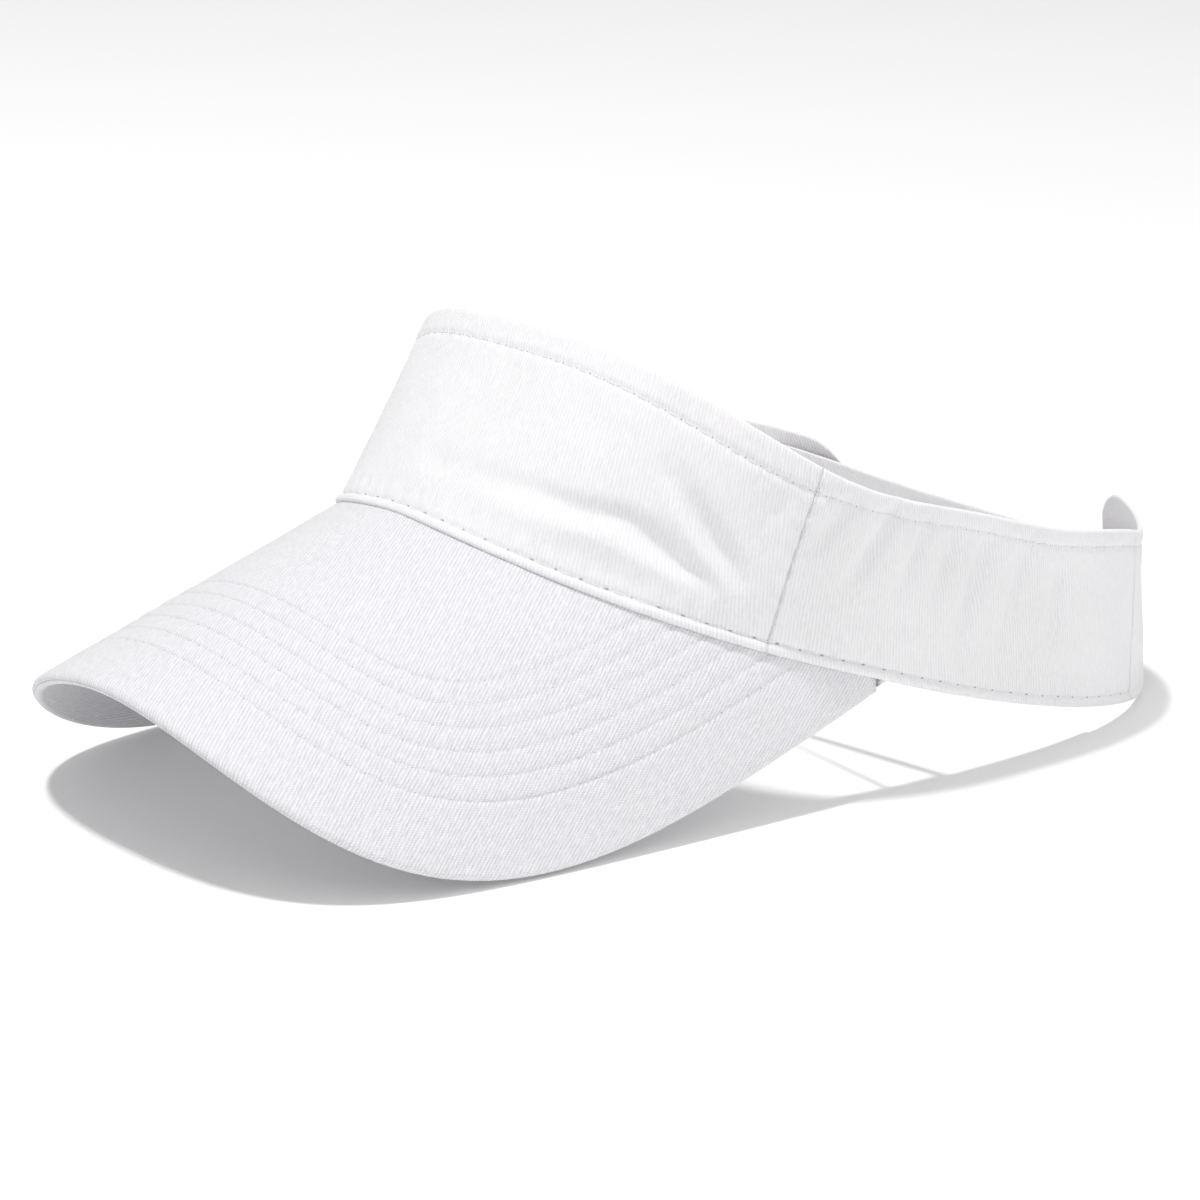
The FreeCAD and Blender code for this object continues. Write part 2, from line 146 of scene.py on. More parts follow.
LOW = dict(half=67.4, front=-58.2, back=135.7, widest=42.2, front_power=2.33, back_power=2.7)
TOP = dict(half=72.7, front=-23.4, back=126.4, widest=41.8, front_power=2.67, back_power=2.77)
TOP_HEIGHTS = [96.2, 71.6, 61.0, 52.0, 45.3, 34.2]
LOW_JOIN = math.radians(81.0)
LOW_SAG = 13.2
LOW_REAR = -2.6
SEAM_LOW, SEAM_TOP = math.radians(63.4), math.radians(60.4)
TAB_ROOT = math.radians(135.0)
TAB_END = math.radians(164.4)
TAB_LIFT = 8.3
RIGHT_END = -math.radians(143.2)
BAND_SPLIT = math.radians(126.0)
LIFT = 0.15
CORNER_RADIUS = 9.0


def spline(stations, values, at):
    """Natural cubic spline through evenly spaced stations."""
    count = len(values)
    step = stations[1] - stations[0]
    matrix, right = np.eye(count), np.zeros(count)
    for i in range(1, count - 1):
        matrix[i, i - 1:i + 2] = (1, 4, 1)
        right[i] = 6 * (values[i + 1] - 2 * values[i] + values[i - 1]) / step ** 2
    bend = np.linalg.solve(matrix, right)
    i = np.clip(((at - stations[0]) / step).astype(int), 0, count - 2)
    a, b = (at - stations[0]) / step - i, 1 - (at - stations[0]) / step + i
    values = np.asarray(values)
    curve = ((a ** 3 - a) * bend[i + 1] + (b ** 3 - b) * bend[i]) * step ** 2 / 6
    return a * values[i + 1] + b * values[i] + curve


def plan(turn, half, front, back, widest, front_power, back_power):
    sine, cosine = np.sin(turn), np.cos(turn)
    power = np.where(cosine > 0, 2 / front_power, 2 / back_power)
    reach = np.where(cosine > 0, widest - front, back - widest)
    return half * signed_power(sine, power), widest - reach * signed_power(cosine, power)


def low_edge(turn):
    x, y = plan(turn, **LOW)
    join_x, join_y = plan(np.array(LOW_JOIN), **LOW)
    back = (y - join_y) / (LOW["back"] - join_y)
    free = mix(brim_height(join_x, join_y), LOW_REAR, back) - LOW_SAG * back * (1 - back)
    z = np.where(np.cos(turn) > math.cos(LOW_JOIN), brim_height(x, y), free)
    return np.stack([x, y, z], -1)


def top_edge(turn):
    x, y = plan(turn, **TOP)
    back = 100 * (y - TOP["front"]) / (TOP["back"] - TOP["front"])
    return np.stack([x, y, spline(np.linspace(0, 100, 6), TOP_HEIGHTS, back)], -1)


def full_height(turn):
    return np.linalg.norm(top_edge(turn) - low_edge(turn), axis=-1)


def tab_rise(turn):
    start = TAB_ROOT - 0.1
    return TAB_LIFT * ease((turn - start) / (TAB_END - start))


def ring_point(turn, up):
    low = low_edge(turn)
    return low + (top_edge(turn) - low) * up[..., None]


def ring_outward(turn, up):
    along = ring_point(turn + 0.01, up) - ring_point(turn - 0.01, up)
    return unit(np.cross(along, top_edge(turn) - low_edge(turn)))


def band_point(turn, height, depth=0.0):
    turn, height, depth = np.broadcast_arrays(np.asarray(turn, float), height, depth)
    up = height / full_height(turn)
    point = ring_point(turn, up) - ring_outward(turn, up) * depth[..., None]
    point[..., 2] += tab_rise(turn)
    return point


def seam_turn(up):
    return mix(SEAM_LOW, SEAM_TOP, up)


_turns = np.linspace(-math.pi, math.pi, 4001)
_middle = ring_point(_turns, np.full(4001, 0.5))
_arcs = np.concatenate([[0], np.cumsum(np.linalg.norm(np.diff(_middle, axis=0), axis=1))])
_arcs -= np.interp(0, _turns, _arcs)


def arc_at(turn):
    return np.interp(turn, _turns, _arcs)


def turn_at(arc):
    return np.interp(arc, _arcs, _turns)


# ---------------------------------------------------------------- folds, hems and seams as relief
# Relief is how far the cloth stands outside its plain surface, in millimetres.
# Each crease is a valley: points (arc, height, depth, width) in millimetres.

CREASES = [
    [(47, 33, 0.0, 2.8), (55, 27.8, 1.6, 2.7), (62, 23.0, 2.9, 2.5), (69, 18.2, 3.2, 2.3), (74, 14, 1.8, 2.2),
     (77, 10.5, 0.2, 2.0)],
    [(-5, 14, 0.0, 3.0), (2, 14.5, 0.8, 2.8), (10, 15, 0.5, 2.8), (20, 15.3, 0.9, 2.8), (30, 16.3, 1.5, 2.6),
     (40, 16.3, 2.2, 2.5), (47.5, 17.4, 2.8, 2.6), (54, 16.2, 3.0, 2.5), (62, 13.0, 2.6, 2.2),
     (68, 11.3, 1.3, 2.0), (73, 9, 0.1, 2.0)],
    [(38, 6.2, 0.0, 2.2), (46, 6.4, 0.3, 2.2), (56, 5.8, 0.3, 2.0), (63, 5.4, 0.0, 2.0)],
    [(78, 36, 0.0, 3.0), (76, 30, 0.7, 3.2), (77, 24, 0.0, 3.0)],
    [(22, 38, 0.0, 5.0), (32, 34, 0.5, 4.6), (40, 29, 0.0, 5.0)],
    [(-58, 35, 0.0, 4.0), (-66, 28, 0.9, 3.4), (-72, 19, 1.1, 3.0), (-79, 11, 0.3, 2.6)],
    [(-56, 12, 0.0, 4.0), (-63, 11, 0.8, 3.2), (-71, 7, 0.2, 3.0)],
]
# Cloth that stands up beside the creases.
RIDGES = [
    [(50, 28, 0.0, 2.0), (54, 25.4, 0.5, 2.0), (60.5, 20, 0.8, 1.8), (68.5, 13.8, 0.9, 1.7),
     (74, 10.2, 0.2, 1.7)],
    [(10, 10, 0.0, 3.0), (23, 10, 0.6, 2.8), (36, 10.6, 0.7, 2.4), (46, 11.8, 0.8, 2.2), (58, 10.0, 0.7, 1.9),
     (66, 8, 0.0, 1.8)],
]
# On the side bands: arc at the top, arc at the bottom, top height, bottom height, depth, width.
SOFT_FOLDS = [
    (93, 84, 37, 17, 1.6, 2.4),
    (106, 96, 39, 13, 2.9, 2.3),
    (117, 110, 39, 17, 2.0, 1.9),
    (126, 120, 38, 18, 2.2, 1.9),
    (136, 128, 38, 6, 3.2, 2.6),
    (148, 143, 37, 12, 2.0, 2.2),
    (161, 158, 35, 9, 1.6, 2.8),
    (-104, -99, 36, 10, 2.2, 2.6),
    (-122, -117, 35, 12, 2.0, 2.4),
    (-139, -134, 34, 9, 2.2, 2.6),
    (-158, -156, 32, 10, 1.7, 2.8),
    (-178, -176, 29, 9, 1.2, 2.8),
]
CREASE_SHARE = 0.68
GATHER_SHARE = 0.62
ROLL_HEIGHT = 2.5
ROLL_RISE = 0.65
HEM_FRONT, HEM_SIDE = 6.3, 4.2


def smooth_route(points, steps=8):
    """More points along a smooth curve through the given ones."""
    points = np.array(points, float)
    padded = np.vstack([2 * points[0] - points[1], points, 2 * points[-1] - points[-2]])
    fraction = np.linspace(0, 1, steps, endpoint=False)[:, None]
    spans = []
    for p0, p1, p2, p3 in zip(padded, padded[1:], padded[2:], padded[3:]):
        spans.append(0.5 * (2 * p1 + (p2 - p0) * fraction + (2 * p0 - 5 * p1 + 4 * p2 - p3) * fraction ** 2
                            + (3 * p1 - p0 - 3 * p2 + p3) * fraction ** 3))
    return np.vstack(spans + [points[-1:]])


def valley(arc, height, route):
    """Depth of one crease at each place: a bell across the route, as deep as the route's nearest point."""
    nearest = np.full(arc.shape, 1e9)
    deep, wide = np.zeros(arc.shape), np.ones(arc.shape)
    for start, end in zip(route, route[1:]):
        step = end[:2] - start[:2]
        along = ((arc - start[0]) * step[0] + (height - start[1]) * step[1]) / (step @ step)
        along = np.clip(along, 0, 1)
        gap = np.hypot(arc - start[0] - along * step[0], height - start[1] - along * step[1])
        closer = gap < nearest
        nearest = np.where(closer, gap, nearest)
        deep = np.where(closer, mix(start[2], end[2], along), deep)
        wide = np.where(closer, mix(start[3], end[3], along), wide)
    return np.maximum(deep, 0) * bell(nearest, wide)


def fold_relief(arc, height, full):
    """The folds that go through all the layers, fading out at both edges of the band."""
    relief = np.zeros(arc.shape)
    for points in CREASES:
        relief -= CREASE_SHARE * valley(arc, height, smooth_route(points))
    for top_arc, low_arc, top, low, depth, width in SOFT_FOLDS:
        points = [(low_arc, low, 0.0, width),
                  (mix(low_arc, top_arc, 0.55), mix(low, top, 0.55), depth, width),
                  (mix(low_arc, top_arc, 0.85), mix(low, top, 0.85), depth, width),
                  (top_arc, top, depth * 0.3, width)]
        relief -= GATHER_SHARE * valley(arc, height, np.array(points, float))
    for points in RIDGES:
        relief += CREASE_SHARE * valley(arc, height, smooth_route(points))
    away_from_edges = ease(height / 9) * ease((full - height) / 9)
    relief += 0.3 * noise(arc / 15, height / 12, 3) * away_from_edges * ease(arc / 15)
    relief += 0.25 * noise(arc / 15, height / 12, 3) * away_from_edges * ease(-arc / 15 - 4)
    return relief


def hem_line(turn):
    return mix(HEM_FRONT, HEM_SIDE, ease((np.abs(turn) - 0.8) / 0.5))


def skin_relief(turn, arc, height, full):
    """What shows on the outside only: the rolled lower hem, stitch lines, the seams and fine unevenness."""
    below_top = full - height
    hem = hem_line(turn)
    fade = ease((math.radians(100) - np.abs(turn)) / math.radians(14))
    roll = ROLL_RISE * mix(0.35, 1.0, fade)
    round_roll = np.sqrt(np.clip(1 - (2 * height / ROLL_HEIGHT - 0.86) ** 2, 0, 1))
    relief = roll * round_roll * (height < ROLL_HEIGHT)
    relief -= 0.3 * bell(height - ROLL_HEIGHT, 0.55)
    relief -= 0.3 * bell(below_top - hem, 0.75)
    relief += 0.18 * ease((hem - below_top) / 1.6) * ease(below_top / 1.5)
    pucker = np.sin(2 * math.pi * (arc / 5.6 + 0.05 * height) + 2.2 * noise(arc / 9, height / 30, 5))
    relief += 0.16 * pucker * bell(height - ROLL_HEIGHT - 2.2, 2.4)
    tight = np.sin(2 * math.pi * (arc / 3.9 - 0.12 * below_top) + 2.5 * noise(arc / 8, below_top / 30, 6))
    relief += 0.11 * tight * bell(below_top - hem, 2.6)
    for side in (1, -1):
        seam = arc - arc_at(side * seam_turn(height / full))
        relief -= 0.14 * bell(seam, 0.4)
        relief += 0.15 * bell(seam - side * 2.6, 1.7)
        relief += 0.1 * np.sin(2 * math.pi * height / 4.6) * bell(seam, 2.6)
    relief += 0.07 * noise(arc / 3.1, height / 4.3, 8) + 0.05 * noise(arc / 1.7, height / 1.9, 9)
    return relief


def outer_skin(turn, height):
    """A point on the outside of the cloth."""
    turn, height = np.broadcast_arrays(np.asarray(turn, float), height)
    arc, full = arc_at(turn), full_height(turn)
    return band_point(turn, height, -fold_relief(arc, height, full) - skin_relief(turn, arc, height, full))


# ---------------------------------------------------------------- meshes

TWILL_ON_BRIM = math.radians(62.0)
TWILL_ON_PANEL = math.radians(110.0)
TWILL_ON_BAND = math.radians(101.5)


def cloth_map(across, along, twill):
    """Texture coordinates in millimetres: the first across the twill's lines, the second along them."""
    return np.stack([across * math.sin(twill) - along * math.cos(twill),
                     across * math.cos(twill) + along * math.sin(twill)], -1)


def add_mesh(name, points, faces, materials, coordinates=None, face_materials=None):
    mesh = bpy.data.meshes.new(name)
    mesh.from_pydata((np.asarray(points).reshape(-1, 3) * MM).tolist(), [], faces)
    if coordinates is not None:
        flat = np.asarray(coordinates).reshape(-1, 2)
        corners = np.empty(len(mesh.loops), int)
        mesh.loops.foreach_get("vertex_index", corners)
        layer = mesh.uv_layers.new(name="cloth")
        layer.data.foreach_set("uv", flat[corners].astype(np.float32).ravel())
    for material in materials:
        mesh.materials.append(material)
    if face_materials is not None:
        mesh.polygons.foreach_set("material_index", np.asarray(face_materials, np.int32))
    mesh.polygons.foreach_set("use_smooth", [len(face) <= 4 for face in faces])  # end faces stay flat
    shell = bmesh.new()
    shell.from_mesh(mesh)
    bmesh.ops.recalc_face_normals(shell, faces=shell.faces)
    shell.to_mesh(mesh)
    shell.free()
    mesh.update()
    piece = bpy.data.objects.new(name, mesh)
    bpy.context.scene.collection.objects.link(piece)
    return piece


def ring_faces(rows, columns, closed_ends=True):
    """Quads of a grid whose columns close round on themselves, with a face on each end."""
    faces = []
    for i in range(rows - 1):
        for j in range(columns):
            after = (j + 1) % columns
            this, following = i * columns, (i + 1) * columns
            faces.append((this + j, this + after, following + after, following + j))
    if closed_ends:
        faces.append(tuple(range(columns)))
        faces.append(tuple(range((rows - 1) * columns, rows * columns)))
    return faces


RIM = np.linspace(0, math.pi, 7)[1:-1]  # angles round a rolled rim
FAR_INSIDE = 9.0  # a distance from a strip's end at which it has its full thickness


def spaced(low, high, count, crowd):
    """Fractions from 0 to 1, closer together near both ends."""
    even = np.linspace(0, 1, count)
    return mix(even, 0.5 - 0.5 * np.cos(math.pi * even), crowd) * (high - low) + low


def band_shell(name, start, end, outer, inner, material, low=LIFT, high=0.0, rounded=None,
               pinched=(True, True), step=0.85, twill=TWILL_ON_BAND, skin=1.0, columns=84, thick_hem=0.0):
    """A strip of cloth round the ring, as a closed shell with rounded rims.
    start and end are ring angles, or functions of the height's fraction."""
    start_at = start if callable(start) else lambda up: start + 0 * up
    end_at = end if callable(end) else lambda up: end + 0 * up
    half = np.array(0.5)  # everything along the strip is measured at half its height
    length = arc_at(end_at(half)) - arc_at(start_at(half))
    rows = int(length / step) + 1
    arcs = mix(arc_at(start_at(half)), arc_at(end_at(half)), spaced(0, 1, rows, 0.35 if rounded else 0.12))
    middle = turn_at(arcs)
    fraction = (middle - start_at(half)) / (end_at(half) - start_at(half))
    full = full_height(middle)
    corner = np.zeros(rows)
    if rounded:
        distance = np.abs(arcs - arcs[-1 if rounded == "end" else 0])
        inside = np.clip(CORNER_RADIUS - distance, 0, CORNER_RADIUS)
        corner = CORNER_RADIUS - np.sqrt(CORNER_RADIUS ** 2 - inside ** 2)
    bottom, top = low + corner, full - high - corner
    face = spaced(0, 1, columns, 0.3)
    edge = np.minimum(np.abs(arcs - arcs[0]) if pinched[0] else FAR_INSIDE,
                      np.abs(arcs - arcs[-1]) if pinched[1] else FAR_INSIDE)
    round_off = np.sqrt(np.clip(1 - (1 - np.clip(edge / (0.7 if rounded else 0.2), 0, 1)) ** 2,
                                0.2 if rounded else 0.85, 1))
    middle_depth, half_depth = (outer + inner) / 2, (inner - outer) / 2 * round_off
    radius = half_depth

    heights, depths, shown = [], [], []
    for part in ("outer", "top", "inner", "bottom"):
        if part in ("outer", "inner"):
            along = face if part == "outer" else face[::-1]
            heights.append(mix((bottom + radius)[:, None], (top - radius)[:, None], along))
            sign = -1 if part == "outer" else 1
            depths.append((middle_depth + sign * half_depth)[:, None] + 0 * along)
            shown.append((1.0 if part == "outer" else 0.0) + 0 * heights[-1])
        else:
            cosine, sine = np.cos(RIM), np.sin(RIM)
            if part == "top":
                heights.append((top - radius)[:, None] + radius[:, None] * sine)
                depths.append(middle_depth - half_depth[:, None] * cosine)
                shown.append((1 + cosine) / 2 + 0 * heights[-1])
            else:
                heights.append((bottom + radius)[:, None] - radius[:, None] * sine)
                depths.append(middle_depth + half_depth[:, None] * cosine)
                shown.append((1 - cosine) / 2 + 0 * heights[-1])
    height, depth, shown = np.hstack(heights), np.hstack(depths), np.hstack(shown)
    up = height / full[:, None]
    turn = mix(start_at(up), end_at(up), fraction[:, None])
    arc, here = arc_at(turn), full_height(turn)
    height = height * here / full[:, None]
    if thick_hem:
        depth = depth + (1 - shown) * thick_hem * ease((height - here + hem_line(turn) + 0.6) / 1.2)
    relief = fold_relief(arc, height, here)
    if skin:
        relief = relief + skin * shown * skin_relief(turn, arc, height, here)
    grid = band_point(turn, height, depth - relief)
    return add_mesh(name, grid, ring_faces(*grid.shape[:2]), [material], cloth_map(arc, height, twill))


def sew(name, route, outward, pitch, materials, radius=0.2, share=0.78, hole_shade_size=0.0, lift=0.06):
    """A row of stitches along a route: short arched threads, each with a needle hole at its start, drawn as a
    small dark disc of painted shade.
    """
    length = np.concatenate([[0], np.cumsum(np.linalg.norm(np.diff(route, axis=0), axis=1))])
    count = max(int(round(length[-1] / pitch)), 2)
    pitch = length[-1] / count
    jitter = 0.06 * pitch * noise(np.arange(count) * 1.7, np.zeros(count), 11)

    def at(distance):
        place = np.stack([np.interp(distance, length, route[:, k]) for k in range(3)], -1)
        normal = unit(np.stack([np.interp(distance, length, outward[:, k]) for k in range(3)], -1))
        ahead = np.stack([np.interp(distance + 0.1, length, route[:, k]) for k in range(3)], -1)
        back = np.stack([np.interp(distance - 0.1, length, route[:, k]) for k in range(3)], -1)
        return place, normal, unit(ahead - back)
    rings, sides = 7, 6
    t = np.linspace(0, 1, rings)
    distance = (np.arange(count) + 0.5 * (1 - share))[:, None] * pitch + jitter[:, None] + t * pitch * share
    place, normal, along = at(distance)
    sideways = np.cross(normal, along)
    bow = np.sin(math.pi * t) ** 0.6
    centre = place + normal * (lift + 0.28 * (bow - 1))[:, None]
    spin = np.linspace(0, 2 * math.pi, sides, endpoint=False)
    thick = radius * (0.55 + 0.45 * bow)
    around = sideways[..., None, :] * np.cos(spin)[:, None] + normal[..., None, :] * np.sin(spin)[:, None]
    points = centre[..., None, :] + around * thick[:, None, None]
    faces, kinds = [], []
    for k in range(count):
        base = k * rings * sides
        stitch = [tuple(base + v for v in quad) for quad in ring_faces(rings, sides)]
        faces += stitch
        kinds += [0] * len(stitch)
    points = points.reshape(-1, 3)
    # Each needle hole is a small dark disc lying on the cloth: painted shade.
    if hole_shade_size:
        place, normal, along = at((np.arange(count) + 0.02) * pitch + jitter)
        sideways = np.cross(normal, along)
        spin = np.linspace(0, 2 * math.pi, 8, endpoint=False)
        rim = along[:, None, :] * np.cos(spin)[:, None] * 1.15 + sideways[:, None, :] * np.sin(spin)[:, None]
        size = hole_shade_size * (1 + 0.2 * noise(np.arange(count) * 2.3, np.zeros(count), 12))[:, None, None]
        centre = place + normal * 0.05
        hole_shade_discs = np.concatenate([centre[:, None, :] + rim * size, (centre + normal * 0.05)[:, None, :]], 1)
        first = len(points)
        for k in range(count):
            base = first + k * 9
            faces += [(base + j, base + (j + 1) % 8, base + 8) for j in range(8)]
            faces.append(tuple(base + j for j in range(8)))
            kinds += [1] * 9
        points = np.vstack([points, hole_shade_discs.reshape(-1, 3)])
    return add_mesh(name, points, faces, materials, points[:, :2], kinds)


# ---------------------------------------------------------------- materials

def node_material(name, colour, roughness, sheen):
    material = bpy.data.materials.new(name)
    material.use_nodes = True
    shader = material.node_tree.nodes["Principled BSDF"]
    shader.inputs["Base Color"].default_value = (*colour, 1)
    shader.inputs["Roughness"].default_value = roughness
    shader.inputs["Sheen Weight"].default_value = sheen
    shader.inputs["Sheen Roughness"].default_value = 0.5
    shader.inputs["Specular IOR Level"].default_value = 0.25
    return material, material.node_tree, shader


def thin_cloth(shader):
    """Light goes a little way into white cotton, so shaded folds and insides stay bright."""
    shader.inputs["Subsurface Weight"].default_value = 0.3
    shader.inputs["Subsurface Radius"].default_value = (1.0, 0.95, 0.95)
    shader.inputs["Subsurface Scale"].default_value = 0.001


def value(tree, operation, *inputs):
    node = tree.nodes.new("ShaderNodeMath")
    node.operation = operation
    for i, item in enumerate(inputs):
        if isinstance(item, (int, float)):
            node.inputs[i].default_value = item
        else:
            tree.links.new(item, node.inputs[i])
    return node.outputs[0]


def cloth_coordinates(tree):
    coordinates = tree.nodes.new("ShaderNodeUVMap")
    coordinates.uv_map = "cloth"
    split = tree.nodes.new("ShaderNodeSeparateXYZ")
    tree.links.new(coordinates.outputs["UV"], split.inputs[0])
    return coordinates.outputs["UV"], split.outputs["X"], split.outputs["Y"]


def texture_noise(tree, vector, scale, detail=2.0, stretch=(1, 1, 1)):
    mapping = tree.nodes.new("ShaderNodeMapping")
    mapping.inputs["Scale"].default_value = stretch
    tree.links.new(vector, mapping.inputs["Vector"])
    cloud = tree.nodes.new("ShaderNodeTexNoise")
    cloud.inputs["Scale"].default_value = scale
    cloud.inputs["Detail"].default_value = detail
    tree.links.new(mapping.outputs["Vector"], cloud.inputs["Vector"])
    return cloud.outputs["Fac"]


def tint(tree, factor, dark, light, shader):
    ramp = tree.nodes.new("ShaderNodeMix")
    ramp.data_type = "RGBA"
    tree.links.new(factor, ramp.inputs["Factor"])
    ramp.inputs["A"].default_value = (*dark, 1)
    ramp.inputs["B"].default_value = (*light, 1)
    tree.links.new(ramp.outputs["Result"], shader.inputs["Base Color"])


def bump(tree, height, distance, strength, shader):
    node = tree.nodes.new("ShaderNodeBump")
    node.inputs["Strength"].default_value = strength
    node.inputs["Distance"].default_value = distance
    tree.links.new(height, node.inputs["Height"])
    tree.links.new(node.outputs["Normal"], shader.inputs["Normal"])


TWILL_PITCH = 0.76
YARN_PITCH = 0.55


def twill_material(name, light, dark, depth, broken, washed=0.0):
    """Cotton twill: diagonal ridges, each a row of short slanting yarn floats, with slubs and fuzz.
    broken is how far the floats break the ridges up, washed how far the weave fades in places."""
    material, tree, shader = node_material(name, light, 0.92, 0.12)
    thin_cloth(shader)
    cloth, across, along = cloth_coordinates(tree)
    wander = texture_noise(tree, cloth, 0.35, 2.0, (1, 0.25, 1))
    slub = texture_noise(tree, cloth, 1.7, 3.0, (1, 0.3, 1))
    fuzz = texture_noise(tree, cloth, 5.0, 3.0)
    bent = value(tree, "MULTIPLY_ADD", wander, 0.9, across)
    wave = value(tree, "SINE", value(tree, "MULTIPLY", bent, 2 * math.pi / TWILL_PITCH))
    valley_share = value(tree, "POWER", value(tree, "MULTIPLY_ADD", wave, -0.5, 0.5), 1.8)
    slanted = value(tree, "MULTIPLY_ADD", bent, 0.55, along)
    float_wave = value(tree, "SINE", value(tree, "MULTIPLY", slanted, 2 * math.pi / YARN_PITCH))
    gap = value(tree, "POWER", value(tree, "MULTIPLY_ADD", float_wave, -0.5, 0.5), 2.0)
    ridge = value(tree, "SUBTRACT", 1.0, valley_share)
    yarn = value(tree, "MULTIPLY", value(tree, "SUBTRACT", 1.0, value(tree, "MULTIPLY", gap, broken)), ridge)
    height = value(tree, "MULTIPLY_ADD", value(tree, "SUBTRACT", slub, 0.5), 1.3, yarn)
    height = value(tree, "MULTIPLY_ADD", value(tree, "SUBTRACT", fuzz, 0.5), 0.8, height)
    if washed:
        patches = texture_noise(tree, cloth, 0.05, 2.0)
        worn = value(tree, "SUBTRACT", 1.0, value(tree, "MULTIPLY", patches, washed))
        height = value(tree, "MULTIPLY_ADD", value(tree, "SUBTRACT", height, 0.6), worn, 0.6)
    # The colour follows the height: darker in the weave's valleys, which is painted shade, and uneven with
    # the slubs and fuzz.
    shade = value(tree, "MULTIPLY_ADD", height, 0.9, 0.05)
    tint(tree, shade, dark, light, shader)
    bump(tree, height, depth, 1.0, shader)
    return material


def weave_material(name, light, dark, pitch, depth):
    """Plain weave: crossing yarns, over and under."""
    material, tree, shader = node_material(name, light, 0.9, 0.1)
    thin_cloth(shader)
    cloth, across, along = cloth_coordinates(tree)
    warp = value(tree, "SINE", value(tree, "MULTIPLY", across, 2 * math.pi / pitch))
    weft = value(tree, "SINE", value(tree, "MULTIPLY", along, 2 * math.pi / pitch))
    crossing = value(tree, "MULTIPLY_ADD", value(tree, "MULTIPLY", warp, weft), 0.5, 0.5)
    height = value(tree, "MULTIPLY_ADD", texture_noise(tree, cloth, 2.0, 3.0), 0.6, crossing)
    # The colour is darker where the yarns go under, which is painted shade, and uneven at random.
    tint(tree, value(tree, "MULTIPLY", height, 0.75), dark, light, shader)
    bump(tree, height, depth, 0.9, shader)
    return material


def pile_material(name, light, dark, scale, depth):
    """Non-woven felt or fine loop pile: tangled fibres."""
    material, tree, shader = node_material(name, light, 0.95, 0.3)
    cloth = cloth_coordinates(tree)[0]
    fibres = texture_noise(tree, cloth, scale, 5.0, (1, 0.45, 1))
    clumps = texture_noise(tree, cloth, scale * 0.25, 2.0)
    height = value(tree, "MULTIPLY_ADD", clumps, 0.5, fibres)
    tint(tree, height, dark, light, shader)
    bump(tree, height, depth, 1.0, shader)
    return material


def thread_material(name, light, dark):
    """Twisted polyester thread."""
    material, tree, shader = node_material(name, light, 0.6, 0.15)
    place = tree.nodes.new("ShaderNodeTexCoord").outputs["Object"]
    wave = tree.nodes.new("ShaderNodeTexWave")
    wave.bands_direction = "DIAGONAL"
    wave.inputs["Scale"].default_value = 900
    wave.inputs["Distortion"].default_value = 1.5
    tree.links.new(place, wave.inputs["Vector"])
    # The colour is darker in the twist's grooves: painted shade.
    tint(tree, wave.outputs["Fac"], dark, light, shader)
    bump(tree, wave.outputs["Fac"], 0.00008, 0.8, shader)
    return material


def plastic_material(name, light, dark):
    """Moulded plastic sheet with a faint mottle."""
    material, tree, shader = node_material(name, light, 0.45, 0.0)
    place = tree.nodes.new("ShaderNodeTexCoord").outputs["Object"]
    mottle = texture_noise(tree, place, 400.0, 4.0)
    tint(tree, mottle, dark, light, shader)
    bump(tree, mottle, 0.00005, 0.3, shader)
    return material


# The dark colours are painted shade in the twill's valleys; the brim's copy has deeper painted shade.
BRIM_TWILL = twill_material("white_twill_brim", (0.88, 0.87, 0.90), (0.67, 0.66, 0.69), 0.00014, 0.6)
TWILL = twill_material("white_twill", (0.87, 0.86, 0.875), (0.72, 0.71, 0.725), 0.00011, 0.5, 0.7)
LINING = weave_material("white_lining", (0.81, 0.81, 0.83), (0.70, 0.70, 0.72), 0.5, 0.00008)
INTERFACING = pile_material("white_interfacing", (0.82, 0.82, 0.82), (0.74, 0.74, 0.74), 1.2, 0.0001)
THREAD = thread_material("white_thread", (0.84, 0.84, 0.86), (0.74, 0.74, 0.76))
# Dark grey for the needle-hole discs: painted shade.
HOLE_SHADE = pile_material("needle_hole_shade", (0.46, 0.45, 0.46), (0.34, 0.34, 0.34), 3.0, 0.00005)
PLASTIC = plastic_material("white_plastic_board", (0.8, 0.8, 0.8), (0.76, 0.76, 0.76))
HOOKS = pile_material("white_hook_tape", (0.80, 0.80, 0.82), (0.70, 0.70, 0.72), 1.6, 0.0001)
LOOPS = pile_material("white_loop_tape", (0.82, 0.82, 0.84), (0.66, 0.66, 0.68), 2.4, 0.0003)


# ---------------------------------------------------------------- the brim

def brim_root(turn, gap):
    def at(angle):
        return brim_flat(low_edge(angle))
    across, ahead = at(turn)
    before, after = at(turn - 1e-3), at(turn + 1e-3)
    step_across, step_ahead = after[0] - before[0], after[1] - before[1]
    length = np.hypot(step_across, step_ahead)
    return across - gap * step_ahead / length, ahead + gap * step_across / length


def outline_end():
    ahead = brim_flat(low_edge(np.array(BRIM_END)))[1]
    return math.acos(signed_power((ahead - BRIM_WIDEST) / (BRIM_LENGTH - BRIM_WIDEST), BRIM_ROUNDNESS / 2))


OUTLINE_END = outline_end()
_edge_line = np.stack(outline(np.linspace(-OUTLINE_END, OUTLINE_END, 900)), -1)


def from_edge(across, ahead):
    """Distance from the brim's edge."""
    nearest = np.full(across.shape, 1e9)
    for start, end in zip(_edge_line, _edge_line[1:]):
        step = end - start
        along = np.clip(((across - start[0]) * step[0] + (ahead - start[1]) * step[1]) / (step @ step), 0, 1)
        gap = (across - start[0] - along * step[0]) ** 2 + (ahead - start[1] - along * step[1]) ** 2
        nearest = np.minimum(nearest, gap)
    return np.sqrt(nearest)


ROWS = [FIRST_ROW + i * ROW_STEP for i in range(ROW_COUNT)]
ROW_GROOVE = 0.3
ROW_STITCH = 3.7


